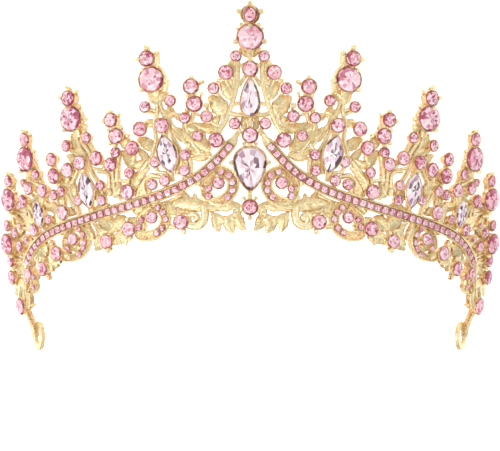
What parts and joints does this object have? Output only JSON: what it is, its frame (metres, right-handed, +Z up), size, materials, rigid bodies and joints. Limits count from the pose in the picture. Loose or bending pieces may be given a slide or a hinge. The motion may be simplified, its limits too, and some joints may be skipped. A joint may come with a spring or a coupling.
{
  "type": "tiara",
  "caption": "Gilt tiara of pierced leaf and scroll work that rises to a tall centre column and side spires, set with rose pink and clear cut stones, with hair pin loops at its ends.",
  "frame": {"origin": "centre of the box's underside, on the floor that the tiara lies on, face up", "axes": "+X to the right as seen in the picture, +Y from the wearer's side towards the crest and the camera, +Z up from the floor"},
  "size_m": [0.167, 0.1154, 0.0453],
  "materials": {
    "gold": "polished, granular in the recesses",
    "row": "gilt channel with small rose pink stones",
    "pink_stone": "faceted, polished",
    "clear_stone": "faceted, polished"
  },
  "bodies": {
    "root": {"frame": "gold", "row_left": "row", "row_right": "row", "stone_crest": "pink_stone", "stone_crown": "pink_stone", "stone_neck": "pink_stone", "stone_upper_pear": "clear_stone", "stone_heart": "pink_stone", "stone_lower_pear": "clear_stone", "stone_foot": "pink_stone", "spire_a_tip_left": "pink_stone", "spire_a_tip_right": "pink_stone", "spire_a_main_left": "pink_stone", "spire_a_main_right": "pink_stone", "spire_b_tip_left": "pink_stone", "spire_b_tip_right": "pink_stone", "spire_b_main_left": "pink_stone", "spire_b_main_right": "pink_stone", "spire_c_tip_left": "pink_stone", "spire_c_tip_right": "pink_stone", "spire_c_main_left": "pink_stone", "spire_c_main_right": "pink_stone", "spire_d_tip_left": "pink_stone", "spire_d_tip_right": "pink_stone", "spire_d_main_left": "pink_stone", "spire_d_main_right": "pink_stone", "spire_e_main_left": "pink_stone", "spire_e_main_right": "pink_stone", "spire_f_tip_left": "pink_stone", "spire_f_tip_right": "pink_stone", "spire_f_main_left": "pink_stone", "spire_f_main_right": "pink_stone", "spire_g_main_left": "pink_stone", "spire_g_main_right": "pink_stone", "spire_h_main_left": "pink_stone", "spire_h_main_right": "pink_stone", "navette_inner_left": "clear_stone", "navette_inner_right": "clear_stone", "navette_middle_left": "clear_stone", "navette_middle_right": "clear_stone", "navette_outer_left": "clear_stone", "navette_outer_right": "clear_stone"}
  },
  "joints": []
}
